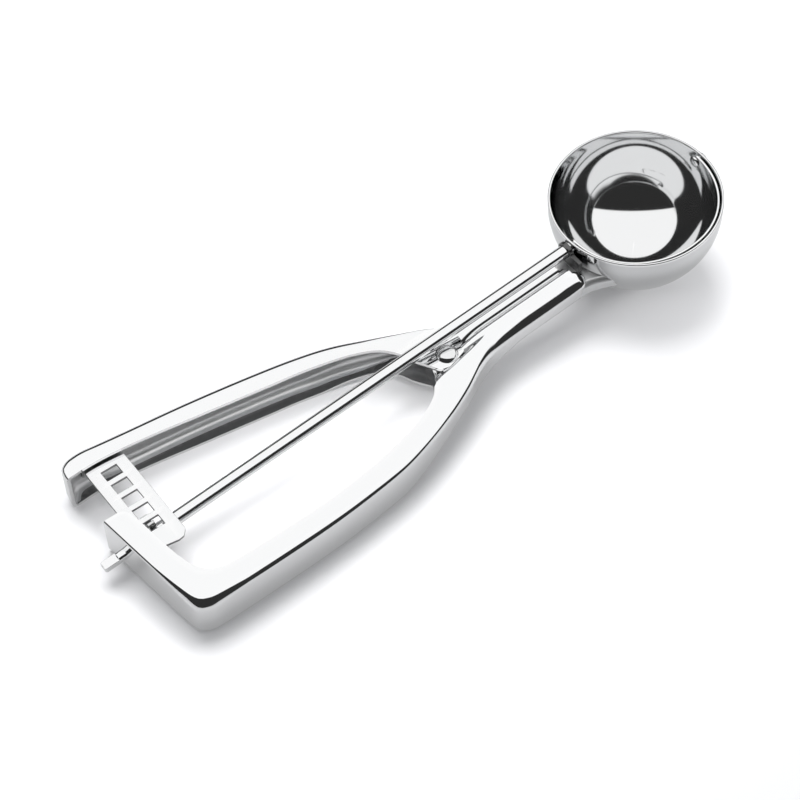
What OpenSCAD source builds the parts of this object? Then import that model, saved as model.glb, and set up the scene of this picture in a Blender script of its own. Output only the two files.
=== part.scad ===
// Lever ice cream scoop, lying at rest with its handles flat on the table.
// +X runs from the handle end to the bowl, +Y is the lever side, +Z is up. Millimetres.

/* [Bowl] */
// outer radius of the round bowl
bowl_radius = 28; // [26:0.5:29]
// thickness of the bowl's sheet
bowl_sheet = 0.9; // [0.7:0.1:1.2]
// height of the straight wall above the round part
rim_height = 3.5; // [2.5:0.25:4.5]

/* [Spindle] */
// distance from the handle end to the middle of the bowl
spindle_length = 196.8; // [195:0.2:199]
// drop of the spindle's axis below the top of the handles, at the handle end
spindle_drop = 8; // [7.8:0.1:8.2]
// diameter of the spindle rod
rod_diameter = 4.4; // [4:0.1:4.6]
// diameter of the journal that turns in the end wall
journal_diameter = 3.4; // [3.2:0.1:3.6]
// length of the flat tail outside the end wall
tail_length = 6.6; // [5:0.2:7.5]
// width of the flat tail
tail_width = 2.7; // [2.4:0.1:2.8]
// thickness of the flat tail
tail_thickness = 1.8; // [1.5:0.1:2]

// length of the neck's pressing that stays clear of the bowl's middle
neck_clear = 29.8; // [29.6:0.1:30.2]

/* [Handles] */
// height of both channel handles
handle_height = 15.4; // [15.2:0.1:15.8]
// thickness of the pressed sheet
sheet = 1.1; // [1:0.05:1.15]
// lean of the handle's end wall, seen from above
end_lean = 7.4; // [5:0.2:9]
// distance of the pivot from the handle end
pivot_x = 115.6; // [115:0.2:116.4]
// distance of the pivot from the spindle's line, to the fixed handle's side
pivot_offset = 4; // [3.8:0.1:4.2]

/* [Rack and pinion] */
// number of teeth on the pinion
teeth = 6; // [6:1:6]
// distance between neighbouring rack windows
window_pitch = 5.62; // [5.58:0.01:5.66]
// length of a rack window along the spindle
window_length = 5.4; // [5.2:0.1:5.6]
// width of a rack window along the rack
window_width = 3.8; // [3.7:0.05:3.9]
// number of windows in the rack
windows = 5; // [5:1:5]
// gap between the rack plate and the flange of the lever over it
rack_drop = 1; // [0.9:0.05:1.1]
// thickness of the rack plate
rack_sheet = 1.0; // [0.9:0.05:1.1]
// radius to the tips of the pinion's teeth
tip_radius = 5.9; // [5.7:0.1:6]

/* [Scraper] */
// thickness of the scraper blade
blade_sheet = 0.7; // [0.5:0.1:0.8]
// gap between the scraper blade and the bowl
blade_gap = 0.4; // [0.35:0.05:0.5]
// width of the scraper blade at its middle
blade_width = 10; // [8:0.5:11]
// diameter of the pin that carries the far end of the blade
far_pin_diameter = 2.5; // [2.2:0.1:2.8]

/* [Pivot] */
// diameter of the pivot rivet
rivet_diameter = 4; // [3.6:0.1:4.2]
// diameter of the rivet's round heads
rivet_head = 7; // [6.4:0.2:7.2]
// distance from the lever's lower ear to the top of its upper ear
ear_span = 10.8; // [10.7:0.05:10.9]
// diameter of the torsion spring's wire
spring_wire = 1.1; // [1:0.05:1.2]
// number of turns in the torsion spring
spring_turns = 3; // [3:1:3]

/* [Fits] */
// radial clearance of everything that turns in a hole
running_gap = 0.05; // [0.03:0.01:0.1]
// gap between plates that slide over each other
slide_gap = 0.2; // [0.15:0.05:0.25]

/* [View] */
// which piece to draw

/* [Hidden] */
$fn = 64;

steel = [0.78, 0.79, 0.8];
dull_steel = [0.62, 0.63, 0.64];

spindle_height = handle_height - spindle_drop;
rack_floor = handle_height - sheet - rack_drop - rack_sheet;

// The spindle climbs from the handle end to the bowl, whose round bottom rests on the table.
tilt = asin((bowl_radius - spindle_height) / spindle_length);
rod_radius = rod_diameter / 2;
journal_radius = journal_diameter / 2;
inner_radius = bowl_radius - bowl_sheet;
blade_outer = inner_radius - blade_gap;
blade_inner = blade_outer - blade_sheet;
blade_rest = 86;
far_pin_radius = far_pin_diameter / 2;

// Heights of the plates at the pivot, from the table.
ear_floor = handle_height - sheet;
recess_top = ear_floor - slide_gap;
recess_floor = recess_top - sheet;
lower_ear_floor = handle_height - ear_span;
lower_ear_top = lower_ear_floor + sheet;
lower_plate_floor = lower_ear_top + slide_gap;
lower_plate_top = lower_plate_floor + sheet;

// Depths below the spindle's axis in the neck.
pad_depth = 3;
trough_depth = 4.5;
neck_depth = 11.3;

// Where the neck's piece of the pressing ends, in front of the bowl.
neck_start = pivot_x + 6.8;
neck_end = spindle_length - neck_clear;
tall = 60;

// The rack and the pinion.
tooth_step = 360 / teeth;
rack_x = 10.45;
rack_half = 6.5;
face_start = 9.1;
face_width = 2.2;
root_radius = 3.6;
boss_radius = 3.5;
boss_start = 1.6;

// ---- curves ----

function spline_at(p, i, t) =
    let (a = p[max(i - 1, 0)], b = p[i], c = p[i + 1], d = p[min(i + 2, len(p) - 1)])
    0.5 * (2 * b + (c - a) * t + (2 * a - 5 * b + 4 * c - d) * t * t + (3 * b - a - 3 * c + d) * t * t * t);

function spline(p, n) =
    concat([for (i = [0 : len(p) - 2]) for (k = [0 : n - 1]) spline_at(p, i, k / n)], [p[len(p) - 1]]);

function side_at(c, i) =
    let (d = c[min(i + 1, len(c) - 1)] - c[max(i - 1, 0)])
    [-d[1], d[0]] / norm(d);

// the curve c moved by d to its left
function beside(c, d) = [for (i = [0 : len(c) - 1]) c[i] + d * side_at(c, i)];

function backwards(c) = [for (i = [len(c) - 1 : -1 : 0]) c[i]];

// height of a plane that runs along the spindle, w above its axis
function along_z(x, w) = spindle_height + x * tan(tilt) + w / cos(tilt);

// x of a point of the neck, from 0 behind the pivot to 1 at the neck's end
function neck_x(share) = neck_start + share * (neck_end - neck_start);

// x of the outer face of the end wall
function wall_x(y) = -0.35 - y * tan(end_lean);

// ---- outlines seen from above ----

fixed_outer = spline([
    [wall_x(7.2), 7.2], [wall_x(-8), -8], [wall_x(-25), -25], [4.3, -30.8], [7.6, -33.1], [12, -33.6],
    [30, -33.5], [50, -33], [65, -31.9], [80, -30], [92, -26.9], [104, -22.6], [113, -18.8], [121, -14.8],
    [neck_x(0.126), -12.5], [neck_x(0.327), -11.7], [neck_x(0.62), -11.6], [neck_end - 3, -11.6],
    [neck_end + 13, -11.6]], 4);

fixed_inner = spline([
    [5.9, 6.6], [7.2, 1], [8.2, -7], [9.8, -16], [11.5, -20.8], [15.4, -24.4], [22, -25.6], [40, -25.7],
    [55, -25.3], [67, -24.1], [77, -22.7], [86, -20.8], [93, -18.8], [98.5, -16.5], [102.6, -14],
    [105.8, -11]], 4);

// the edge where the top drops to the plate under the spindle
step_line = spline([[105.8, -11], [114, -9.8], [neck_start, -8.4], [neck_x(0.17), -6.9],
    [neck_x(0.327), -5.9], [neck_x(0.62), -5.6], [neck_end - 3.5, -5.6]], 4);

lever_outer = spline([
    [-1.9, 28.4], [-1.2, 31.6], [1.6, 33.8], [6, 34.4], [21, 32.7], [41, 30.5], [61, 27.6], [77, 24.7],
    [89, 21.5], [99.5, 16.9], [109.8, 12], [116.6, 8.7], [120.4, 6.4]], 4);

lever_inner = spline([
    [-1.6, 27], [8, 27.4], [17.4, 26.7], [30, 25], [41, 23.2], [53, 21.3], [65, 19.4], [76, 17.7], [88, 15],
    [94, 13], [98.9, 10.6], [102, 7.8], [104.4, 4.2], [106, 0], [108.2, -3.8], [110, -7]], 4);

ear_end = [[122.2, 3.2], [122.8, -1], [121.6, -5], [119.4, -7.5], [115.6, -8.5], [112, -8.1]];

recess_edge = spline([[105.8, -11], [107.8, -8], [109.2, -4.5], [110, -1], [112.4, 2.3], [116.5, 3.9],
    [121, 3.8], [neck_x(0.103), 3.6], [neck_end, 3.6]], 4);

// ---- helpers ----

// stands children() so that their X runs along the spindle and their Z stands square to it
module along_spindle() translate([0, 0, spindle_height]) rotate([0, -tilt, 0]) children();

module at_bowl() along_spindle() translate([spindle_length, 0, 0]) children();

module at_pivot(z) translate([pivot_x, -pivot_offset, z]) children();

// a rod of radius r along the spindle, from u0 to u1
module on_axis(r, u0, u1) along_spindle() translate([u0, 0, 0]) rotate([0, 90, 0])
    cylinder(r = r, h = u1 - u0);

// a solid as high as the handles, over an outline seen from above
module over(points) linear_extrude(height = tall) polygon(points);

// a solid as wide as the handles, from an outline seen from the side
module beside_all(points) translate([0, tall, 0]) rotate([90, 0, 0]) linear_extrude(height = 2 * tall)
    polygon(points);

// a bent plate: its lower line, seen from the side, with the sheet above it
module bent_plate(line) beside_all(concat(line, backwards([for (p = line) p + [0, sheet]])));

// a round rivet head of radius r and height h, standing on z = 0
module round_head(r, h) rotate_extrude() intersection() {
    translate([0, h - (r * r + h * h) / (2 * h)]) circle(r = (r * r + h * h) / (2 * h), $fn = 180);
    square([r, h]);
}

// ---- side lines of the two handles ----

bend_x = (handle_height - spindle_height + pad_depth / cos(tilt)) / tan(tilt);
fixed_top_line = [[-5, ear_floor], [bend_x, ear_floor],
    [neck_end + 13, along_z(neck_end + 13, -pad_depth) - sheet]];
recess_line = [[100, recess_floor], [neck_start + 1.6, recess_floor],
    [neck_x(0.238), along_z(neck_x(0.238), -trough_depth) - sheet],
    [neck_end + 13, along_z(neck_end + 13, -trough_depth) - sheet]];
fixed_floor_line = [[-5, 0], [82, 0], [107, lower_plate_floor], [neck_start + 1.6, lower_plate_floor],
    [neck_x(0.395), along_z(neck_x(0.395), -neck_depth)],
    [neck_end + 13, along_z(neck_end + 13, -neck_depth)]];
lever_floor_line = [[-5, 0], [82, 0], [107, lower_ear_floor], [125, lower_ear_floor]];
web_top_line = [[neck_end + 13, along_z(neck_end + 13, -9)], [neck_end + 5, along_z(neck_end + 5, -6)],
    [neck_end - 3.5, along_z(neck_end - 3.5, -pad_depth)], [bend_x, handle_height], [-5, handle_height]];

// ---- the fixed handle, pressed in one piece with its end wall and neck ----

fixed_flange = concat([for (p = fixed_outer) if (p[0] < neck_end - 3.4) p],
    [[neck_end - 1.4, -10.8], [neck_end - 0.2, -9.2], [neck_end - 0.2, -7.6], [neck_end - 1.4, -6.1]],
    backwards(step_line),
    backwards(fixed_inner), [[4.6, 7.7], [2.4, 8.2], [0, 8]]);
fixed_web = concat(fixed_outer, backwards(beside(fixed_outer, sheet)));
recess_plan = concat(recess_edge, [[neck_end, -5.8]], backwards(beside(step_line, -0.4)));
lower_plan = concat([for (p = fixed_outer) if (p[0] < neck_end + 9) p], [[neck_end + 9, 3.6]],
    backwards(recess_edge),
    backwards(fixed_inner), [[4.6, 7.7], [2.4, 8.2], [0, 8]]);

module pressed_shape() {
    intersection() {
        over(fixed_flange);
        bent_plate(fixed_top_line);
    }
    intersection() {
        over(recess_plan);
        bent_plate(recess_line);
    }
    intersection() {
        over(concat(step_line, backwards(beside(step_line, -sheet))));
        beside_all(concat(recess_line, [[neck_end + 13, along_z(neck_end + 13, -pad_depth)],
            [bend_x, handle_height], [100, handle_height]]));
    }
    intersection() {
        over(fixed_web);
        beside_all(concat(fixed_floor_line, web_top_line));
    }
    intersection() {
        over(lower_plan);
        bent_plate(fixed_floor_line);
    }
    along_spindle() bearing_lug();
}

// the lug at the end of the trough, in which the spindle turns
module bearing_lug() translate([neck_end - 1.4, 0, 0]) rotate([90, 0, 90]) linear_extrude(height = 1.4) {
    circle(r = 4.2);
    translate([-5, -trough_depth - sheet]) square([8.6, trough_depth + sheet]);
}

module bowl_body(r) rotate_extrude($fn = 128) {
    intersection() {
        circle(r = r, $fn = 128);
        translate([0, -r]) square([r, r]);
    }
    square([r, rim_height]);
}

module fixed_handle() color(steel) difference() {
    pressed_shape();
    at_bowl() bowl_body(bowl_radius);
    at_bowl() cylinder(r = bowl_radius, h = 20);
    on_axis(journal_radius + running_gap, -4, 1.4);
    on_axis(rod_radius + running_gap, neck_end - 5, neck_end + 5);
    along_spindle() translate([neck_x(0.103), 0, 0]) rotate([0, 90, 0])
        cylinder(r = 5, h = neck_end - 4 - neck_x(0.103));
    at_pivot(-1) cylinder(r = rivet_diameter / 2 + 0.02, h = 30);
}

module bowl() color(steel) difference() {
    at_bowl() bowl_body(bowl_radius);
    at_bowl() bowl_body(inner_radius);
    at_bowl() translate([0, 0, rim_height - 0.01]) cylinder(r = inner_radius, h = 2, $fn = 128);
    on_axis(rod_radius + running_gap, spindle_length - 36, spindle_length - 20);
    on_axis(far_pin_radius + running_gap, spindle_length + 20, spindle_length + 32);
}

// ---- the lever, a second channel that swings on the pivot rivet ----

lever_flange = concat(lever_outer, ear_end, backwards(lever_inner));
lever_web = concat(lever_outer, backwards(beside(lever_outer, -sheet)));

module lever_handle() color(steel) difference() {
    union() {
        intersection() {
            over(lever_flange);
            translate([-5, -tall, ear_floor]) cube([135, 2 * tall, sheet]);
        }
        intersection() {
            over(lever_flange);
            bent_plate(lever_floor_line);
        }
        intersection() {
            over(lever_web);
            beside_all(concat(lever_floor_line, [[125, handle_height], [-5, handle_height]]));
        }
    }
    at_pivot(-1) cylinder(r = rivet_diameter / 2 + running_gap, h = 30);
    rack_rivet_axis(7.8) cylinder(r = 1.22, h = 8, center = true);
    rack_rivet_axis(13) cylinder(r = 1.22, h = 8, center = true);
}

// ---- the rack, riveted to the inside of the lever ----

foot_inner = beside(lever_outer, -sheet - rack_sheet);
foot_outer = beside(lever_outer, -sheet);
web_slope = 6.4;

// the axis of a rack rivet: z = 0 lies on the outer face of the lever, z > 0 outside
module rack_rivet_axis(x) translate([x, 34.36 - (x - 7.8) * tan(web_slope), 7.2])
    rotate([-90, 0, -web_slope]) children();

module rack_plate() color(steel) difference() {
    union() {
        translate([0, 0, rack_floor]) linear_extrude(height = rack_sheet) difference() {
            polygon(concat([[rack_x - rack_half, 31.6], [rack_x - rack_half, -5.4], [rack_x - 4.6, -7.8],
                [rack_x + 3.6, -9.2], [rack_x + rack_half - 0.9, -8.4], [rack_x + rack_half, -6.4],
                [rack_x + rack_half, 31.6]]));
            for (k = [0 : windows - 1])
                translate([rack_x - window_length / 2, k * window_pitch - window_width / 2])
                    square([window_length, window_width]);
        }
        translate([0, 0, 3.4]) linear_extrude(height = rack_floor + rack_sheet - 3.4) intersection() {
            polygon(concat(foot_outer, backwards(foot_inner)));
            translate([5, 20]) square([10.8, 20]);
        }
    }
    rack_rivet_axis(7.8) cylinder(r = 1.22, h = 8, center = true);
    rack_rivet_axis(13) cylinder(r = 1.22, h = 8, center = true);
}

module rack_rivet() {
    translate([0, 0, -sheet - rack_sheet - 0.06]) cylinder(r = 1.2, h = sheet + rack_sheet + 0.12);
    translate([0, 0, 0.06]) round_head(2.1, 0.8);
    translate([0, 0, -sheet - rack_sheet - 0.06]) mirror([0, 0, 1]) round_head(2.1, 0.8);
}

module rack_rivet_front() color(dull_steel) rack_rivet_axis(7.8) rack_rivet();

module rack_rivet_rear() color(dull_steel) rack_rivet_axis(13) rack_rivet();

// ---- the spindle with its pinion and scraper ----

ear_seat = spindle_length - blade_outer - 0.02;
ear_inside = spindle_length - blade_inner + 0.12;

module spindle_rod() color(steel) difference() {
    union() {
        on_axis(rod_radius, 1.3, ear_seat);
        on_axis(journal_radius, -1.2, 1.4);
        on_axis(1.5, ear_seat - 0.1, ear_inside);
        along_spindle() translate([ear_inside - 0.01, 0, 0]) rotate([0, 90, 0]) round_head(2.2, 0.8);
        along_spindle() translate([-1.1 - tail_length, -tail_width / 2, -tail_thickness / 2])
            cube([tail_length, tail_width, tail_thickness]);
    }
    along_spindle() translate([4.8, -5, 0]) rotate([-90, 0, 0]) cylinder(r = 0.62, h = 10);
}

module tooth() polygon([[-1.1, root_radius - 0.6], [1.1, root_radius - 0.6], [0.83, tip_radius - 1],
    [0.43, tip_radius], [-0.43, tip_radius], [-0.83, tip_radius - 1]]);

module pinion() color(dull_steel) difference() {
    along_spindle() {
        translate([face_start, 0, 0]) rotate([90, 0, 90]) linear_extrude(height = face_width) {
            circle(r = root_radius);
            for (k = [0 : teeth - 1]) rotate(k * tooth_step) tooth();
        }
        translate([boss_start, 0, 0]) rotate([0, 90, 0])
            cylinder(r = boss_radius, h = face_start - boss_start + 0.5);
    }
    on_axis(rod_radius + 0.01, 0, 20);
    along_spindle() translate([4.8, -5, 0]) rotate([-90, 0, 0]) cylinder(r = 0.62, h = 10);
}

module pinion_pin() color(dull_steel) along_spindle() translate([4.8, -boss_radius - 0.2, 0])
    rotate([-90, 0, 0]) cylinder(r = 0.6, h = 2 * boss_radius + 0.4);

blade_edge = spline([[-bowl_radius, 2.7], [-bowl_radius * 0.786, 3.5], [-bowl_radius * 0.429, 4.5],
    [0, blade_width / 2], [bowl_radius * 0.429, 4.5], [bowl_radius * 0.786, 3.5], [bowl_radius, 2.7]], 3);

module scraper_blade() color(steel) difference() {
    along_spindle() translate([spindle_length, 0, 0]) intersection() {
        rotate([-blade_rest, 0, 0]) rotate([0, 90, 0]) rotate_extrude($fn = 128) difference() {
            intersection() {
                circle(r = blade_outer, $fn = 128);
                translate([0, -blade_outer]) square([blade_outer, 2 * blade_outer]);
            }
            circle(r = blade_inner, $fn = 128);
        }
        rotate([-blade_rest, 0, 0]) translate([0, 0, -bowl_radius - 2])
            linear_extrude(height = bowl_radius + 5)
            polygon(concat(blade_edge, backwards([for (p = blade_edge) [p[0], -p[1]]])));
    }
    on_axis(1.52, ear_seat - 2, ear_inside + 2);
    on_axis(far_pin_radius + 0.02, spindle_length + 20, spindle_length + 30);
}

module far_pin() color(dull_steel) along_spindle() {
    translate([spindle_length + blade_inner - 0.2, 0, 0]) rotate([0, 90, 0])
        cylinder(r = far_pin_radius, h = blade_gap + blade_sheet + bowl_sheet + 2.1);
    translate([spindle_length + blade_inner - 0.12, 0, 0]) rotate([0, -90, 0])
        round_head(far_pin_radius + 0.75, 0.8);
}

// ---- the pivot ----

module pivot_rivet() color(steel) {
    at_pivot(lower_ear_floor - 0.8)
        cylinder(r = rivet_diameter / 2, h = handle_height - lower_ear_floor + 0.9);
    at_pivot(handle_height + 0.08) round_head(rivet_head / 2, 1);
    at_pivot(lower_ear_floor - 0.75) mirror([0, 0, 1]) round_head(2.9, 0.9);
}

module rivet_washer() color(dull_steel) at_pivot(lower_ear_floor - 0.67) difference() {
    cylinder(r = 3.6, h = 0.6);
    translate([0, 0, -1]) cylinder(r = rivet_diameter / 2 + running_gap, h = 3);
}

module pivot_sleeve() color(dull_steel) at_pivot(lower_plate_top) difference() {
    cylinder(r = 2.8, h = recess_floor - lower_plate_top);
    translate([0, 0, -1]) cylinder(r = rivet_diameter / 2 + 0.03, h = 20);
}

// The torsion spring is one unbroken tube round the sleeve, with a leg to each handle's web.
spring_radius = 3.6;
spring_pitch = spring_wire + 0.47;
spring_floor = lower_plate_top + spring_wire / 2 + 0.2;
spring_from = -43;
spring_to = 360 * (spring_turns - 1) + 48.6;
fixed_leg = 18.6;
lever_leg = 24.2;
curl_rings = 8;
wire_sides = 6;

function coil_at(a) = [spring_radius * cos(a), spring_radius * sin(a),
    spring_floor + spring_pitch * (a - spring_from) / 360];

coil_count = ceil((spring_to - spring_from) * curl_rings / 360);
coil = [for (i = [0 : coil_count]) coil_at(spring_from + (spring_to - spring_from) * i / coil_count)];
wire_path = concat(
    [coil[0] - fixed_leg * [-sin(spring_from), cos(spring_from), 0]], coil,
    [coil[coil_count] + lever_leg * [-sin(spring_to), cos(spring_to), 0]]);

function unit(v) = v / norm(v);

function wire_way(i) =
    unit(wire_path[min(i + 1, len(wire_path) - 1)] - wire_path[max(i - 1, 0)]);

function leg_way(i) =
    i < 2 ? unit(wire_path[1] - wire_path[0])
    : i > len(wire_path) - 3 ? unit(wire_path[len(wire_path) - 1] - wire_path[len(wire_path) - 2])
    : wire_way(i);

function wire_ring(i) =
    let (t = leg_way(i), s = unit(cross(t, [0, 0, 1])), n = cross(s, t))
    [for (k = [0 : wire_sides - 1]) wire_path[i] + spring_wire / 2 * (cos(k * 60) * s + sin(k * 60) * n)];

wire_points = [for (i = [0 : len(wire_path) - 1]) for (p = wire_ring(i)) p];
wire_faces = concat(
    [[for (k = [0 : wire_sides - 1]) k]],
    [for (i = [0 : len(wire_path) - 2]) for (k = [0 : wire_sides - 1])
        [i * wire_sides + k, (i + 1) * wire_sides + k, (i + 1) * wire_sides + (k + 1) % wire_sides,
         i * wire_sides + (k + 1) % wire_sides]],
    [[for (k = [wire_sides - 1 : -1 : 0]) (len(wire_path) - 1) * wire_sides + k]]);

// the least gap between neighbouring turns of the wire
turn_gap = min([for (i = [0 : coil_count - curl_rings]) for (j = [i + curl_rings - 2 : coil_count])
    norm(coil[i] - coil[j])]) - spring_wire;
echo(least_gap_between_turns = turn_gap);

module torsion_spring() color(dull_steel) at_pivot(0) polyhedron(points = wire_points, faces = wire_faces);

fixed_handle();
bowl();
lever_handle();
rack_plate();
rack_rivet_front();
rack_rivet_rear();
spindle_rod();
pinion();
pinion_pin();
scraper_blade();
far_pin();
pivot_rivet();
pivot_sleeve();
rivet_washer();
torsion_spring();
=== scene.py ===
"""Looks of the lever ice cream scoop: pressed sheet, spindle, rack, floor, light and camera.

The shapes are drawn in millimetres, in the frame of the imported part: +X runs to the bowl,
+Y to the lever and +Z up. piece() turns them into metres."""
import math

import bmesh
import bpy
from mathutils import Matrix, Vector


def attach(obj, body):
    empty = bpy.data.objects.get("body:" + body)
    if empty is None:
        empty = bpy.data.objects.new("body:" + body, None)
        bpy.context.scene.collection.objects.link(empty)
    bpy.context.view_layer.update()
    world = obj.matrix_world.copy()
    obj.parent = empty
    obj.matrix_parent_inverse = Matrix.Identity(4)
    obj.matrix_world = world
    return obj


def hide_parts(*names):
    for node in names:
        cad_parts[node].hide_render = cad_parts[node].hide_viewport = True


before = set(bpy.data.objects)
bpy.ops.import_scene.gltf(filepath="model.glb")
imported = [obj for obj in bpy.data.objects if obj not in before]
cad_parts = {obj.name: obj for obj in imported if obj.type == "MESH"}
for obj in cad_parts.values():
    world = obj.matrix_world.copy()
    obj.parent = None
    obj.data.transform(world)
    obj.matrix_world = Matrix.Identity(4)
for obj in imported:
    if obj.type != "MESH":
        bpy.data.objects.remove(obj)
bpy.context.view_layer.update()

# ---- sizes ----

MM = 0.001  # a millimetre in metres
MERGE_GAP = 0.02
TOP_PLATES = 13.5  # only the top plates of the handles lie above this height
SHEET = 1.1
HANDLE_HEIGHT = 15.4
SPINDLE_HEIGHT = 7.4
SPINDLE_LENGTH = 196.8
BOWL_RADIUS = 28.0
BOWL_SHEET = 0.9
RIM_HEIGHT = 3.5
TILT = math.asin((BOWL_RADIUS - SPINDLE_HEIGHT) / SPINDLE_LENGTH)

# the fixed handle; depths lie below the spindle's axis
END_LEAN = math.radians(7.4)
EDGE_ROUND = 0.18
NECK_START, PAD_END, NECK_END = 122.4, 164, 167
PAD_DEPTH, TROUGH_DEPTH, NECK_DEPTH = 3.0, 4.5, 11.3
TROUGH_RADIUS = 5.3
TAIL_DEPTH = 4.9
STEP_START = 105.8
RECESS_TOP, RECESS_FLOOR = 14.1, 5.9

# the lever and the pivot: the wall that the rack hangs on runs at a lean through LEVER_WALL
PIVOT = (115.6, -4.0)
EAR_FLOOR = 4.6
SLEEVE_FLOOR = 7.0
LEVER_WALL, LEVER_LEAN = (7.8, 34.36), math.radians(6.4)

# the rack, its windows and the pinion under them
RACK_TOP, RACK_SHEET = 13.3, 1.0
RACK_END = 29.5
WINDOWS, WINDOW_PITCH, WINDOW_MIDDLE = 5, 5.62, 10.45
WINDOW_LONG, WINDOW_WIDE = 2.7, 1.9  # halves
TEETH = 6

# the spindle, the blade and the spring
ROD_RADIUS, JOURNAL_RADIUS, BLADE_JOURNAL = 2.2, 1.7, 1.5
BLADE_SHEET, BLADE_GAP = 0.7, 0.4
BLADE_OUTER = BOWL_RADIUS - BOWL_SHEET - BLADE_GAP
BLADE_INNER = BLADE_OUTER - BLADE_SHEET
BLADE_REST = math.radians(-86)
WIRE, COIL_RADIUS, COIL_GAP = 1.1, 3.6, 0.47
COIL_START, COIL_END = math.radians(-43), math.radians(768.6)
FRAME_LEG, LEVER_LEG = 18.6, 24.2

SPINDLE = Matrix.Translation((0, 0, SPINDLE_HEIGHT)) @ Matrix.Rotation(-TILT, 4, "Y")
BOWL = SPINDLE @ Matrix.Translation((SPINDLE_LENGTH, 0, 0))
ALONG = SPINDLE @ Matrix.Rotation(math.radians(90), 4, "Y")  # its Z runs along the spindle


# ---- curves seen from above ----

def smooth_curve(points, steps=10):
    """A smooth line through the points."""
    out = []
    last = len(points) - 1
    for i in range(last):
        a, b, c, d = (Vector(points[k]) for k in (max(i - 1, 0), i, i + 1, min(i + 2, last)))
        for k in range(steps):
            t = k / steps
            out.append(0.5 * (2 * b + (c - a) * t + (2 * a - 5 * b + 4 * c - d) * t * t
                              + (3 * b - a - 3 * c + d) * t * t * t))
    return out + [Vector(points[-1])]


def lengths_of(curve):
    """The length of the curve up to each of its points."""
    runs = [0.0]
    for a, b in zip(curve, curve[1:]):
        runs.append(runs[-1] + (b - a).length)
    return runs


def point_at(curve, runs, run):
    """The point of the curve after that length of it."""
    for i in range(len(curve) - 1):
        if runs[i + 1] >= run:
            span = runs[i + 1] - runs[i]
            return curve[i].lerp(curve[i + 1], (run - runs[i]) / span if span else 0.0)
    return curve[-1].copy()


def facing_pairs(outer, inner, ties, gap):
    """Points that face each other on two edges of a plate, with ties between the edges.

    No two of them lie more than the gap apart."""
    outer_runs, inner_runs = lengths_of(outer), lengths_of(inner)

    def nearest(curve, runs, spot):
        return runs[min(range(len(curve)), key=lambda i: (curve[i] - Vector(spot)).length)]

    marks = [(nearest(outer, outer_runs, a), nearest(inner, inner_runs, b)) for a, b in ties]
    pairs = []
    for (a0, b0), (a1, b1) in zip(marks, marks[1:]):
        count = max(2, math.ceil(max(a1 - a0, b1 - b0) / gap))
        for k in range(count):
            share = k / count
            pairs.append((point_at(outer, outer_runs, a0 + (a1 - a0) * share),
                          point_at(inner, inner_runs, b0 + (b1 - b0) * share)))
    pairs.append((point_at(outer, outer_runs, marks[-1][0]),
                  point_at(inner, inner_runs, marks[-1][1])))
    return pairs


def between(x, marks):
    """The value at x of a line through the marks."""
    if x <= marks[0][0]:
        return marks[0][1]
    for (x0, v0), (x1, v1) in zip(marks, marks[1:]):
        if x <= x1:
            return v0 + (v1 - v0) * (x - x0) / (x1 - x0)
    return marks[-1][1]


def eased(x, marks, reach=3.0):
    """As between, with its corners rounded over reach on each side."""
    return sum(between(x + reach * k / 4, marks) for k in range(-4, 5)) / 9


def along_z(x, w):
    """Height of a plane that runs along the spindle, w above its axis."""
    return SPINDLE_HEIGHT + x * math.tan(TILT) + w / math.cos(TILT)


def wall_x(y):
    """x of the outer face of the end wall."""
    return -0.35 - y * math.tan(END_LEAN)


def lever_wall_y(x):
    """y of the outer face of the lever's wall beside the rack."""
    return LEVER_WALL[1] - (x - LEVER_WALL[0]) * math.tan(LEVER_LEAN)


# ---- making pieces ----

def sheet_grid(along, across, place):
    """A sheet of along by across faces, whose corner (i, j) is put at place(i, j)."""
    bm = bmesh.new()
    bmesh.ops.create_grid(bm, x_segments=along, y_segments=across, size=1)
    for v in bm.verts:
        v.co = place(round((v.co.x + 1) / 2 * along), round((v.co.y + 1) / 2 * across))
    return bm


def sheet_of(rows):
    """A sheet through rows of points, all as long as each other."""
    return sheet_grid(len(rows) - 1, len(rows[0]) - 1, lambda i, j: rows[i][j])


def turned(outline, steps, at, closed=False):
    """A shape turned about Z from an outline of (radius, height) points, then put at a place."""
    bm = bmesh.new()
    verts = [bm.verts.new((r, 0, z)) for r, z in outline]
    edges = [bm.edges.new(pair) for pair in zip(verts, verts[1:])]
    if closed:
        edges.append(bm.edges.new((verts[-1], verts[0])))
    bmesh.ops.spin(bm, geom=verts + edges, cent=(0, 0, 0), axis=(0, 0, 1), angle=2 * math.pi,
                   steps=steps, use_merge=True)
    bmesh.ops.remove_doubles(bm, verts=bm.verts, dist=1e-4)
    bmesh.ops.recalc_face_normals(bm, faces=bm.faces)
    bmesh.ops.transform(bm, matrix=at, verts=bm.verts)
    return bm


def thicken(bm, way, at):
    """Makes a flat sheet a solid that reaches along way, and puts it at a place."""
    grown = bmesh.ops.extrude_face_region(bm, geom=bm.faces[:])
    moved = [g for g in grown["geom"] if isinstance(g, bmesh.types.BMVert)]
    bmesh.ops.translate(bm, vec=way, verts=moved)
    bmesh.ops.recalc_face_normals(bm, faces=bm.faces)
    bmesh.ops.transform(bm, matrix=at, verts=bm.verts)
    return bm


def pushed_up(outline, height, at):
    """A solid as high as height over a flat outline."""
    bm = bmesh.new()
    bm.faces.new([bm.verts.new((x, y, 0)) for x, y in outline])
    return thicken(bm, (0, 0, height), at)


def arc(centre, radius, start, end, steps):
    """Points of an arc, angles in degrees."""
    turns = [math.radians(start + (end - start) * k / steps) for k in range(steps + 1)]
    return [(centre[0] + radius * math.cos(t), centre[1] + radius * math.sin(t)) for t in turns]


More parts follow.
